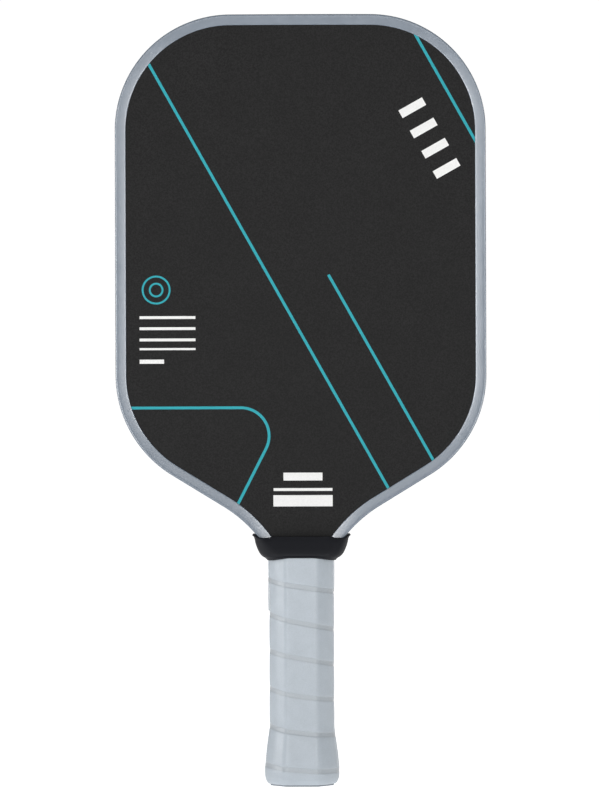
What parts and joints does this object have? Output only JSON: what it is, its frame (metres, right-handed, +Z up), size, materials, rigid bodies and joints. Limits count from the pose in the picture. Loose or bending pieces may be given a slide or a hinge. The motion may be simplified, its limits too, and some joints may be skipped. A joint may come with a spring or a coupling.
{
  "type": "pickleball paddle",
  "caption": "Pickleball paddle with an elongated rounded head, raised edge guard, honeycomb panel, bevelled cushion grip with a flared butt and a rubber throat collar.",
  "frame": {"origin": "centre of the butt cap's flat end, which the paddle stands on", "axes": "+Z runs up the handle to the crown of the head, X runs across the head, and the front face looks along -Y"},
  "size_m": [0.198, 0.0354, 0.4115],
  "materials": {
    "carbon_face": "matte",
    "carbon_strip": "matte",
    "guard_plastic": "satin",
    "guard_tape": "matte",
    "honeycomb_plastic": "satin",
    "resin_film": "gloss",
    "foam": "matte",
    "handle_foam": "matte",
    "glue": "gloss",
    "cap_plastic": "satin",
    "badge_plastic": "gloss",
    "staple_wire": "satin",
    "grip_adhesive": "matte",
    "grip_cushion": "satin",
    "finishing_tape": "satin",
    "collar_rubber": "satin"
  },
  "bodies": {
    "root": {"honeycomb_core": "honeycomb_plastic", "perimeter_foam": "foam", "front_face_sheet": "carbon_face", "back_face_sheet": "carbon_face", "front_bond_film": "resin_film", "back_bond_film": "resin_film", "edge_wrap": "carbon_strip", "edge_guard_tape": "guard_tape", "edge_guard": "guard_plastic", "handle_shell_front": "handle_foam", "handle_shell_back": "handle_foam", "front_shell_glue": "glue", "back_shell_glue": "glue", "butt_cap": "cap_plastic", "butt_cap_staples": "staple_wire", "butt_badge": "badge_plastic", "grip_adhesive": "grip_adhesive", "grip_wrap": "grip_cushion", "grip_finishing_tape": "finishing_tape", "grip_collar": "collar_rubber"}
  },
  "joints": []
}
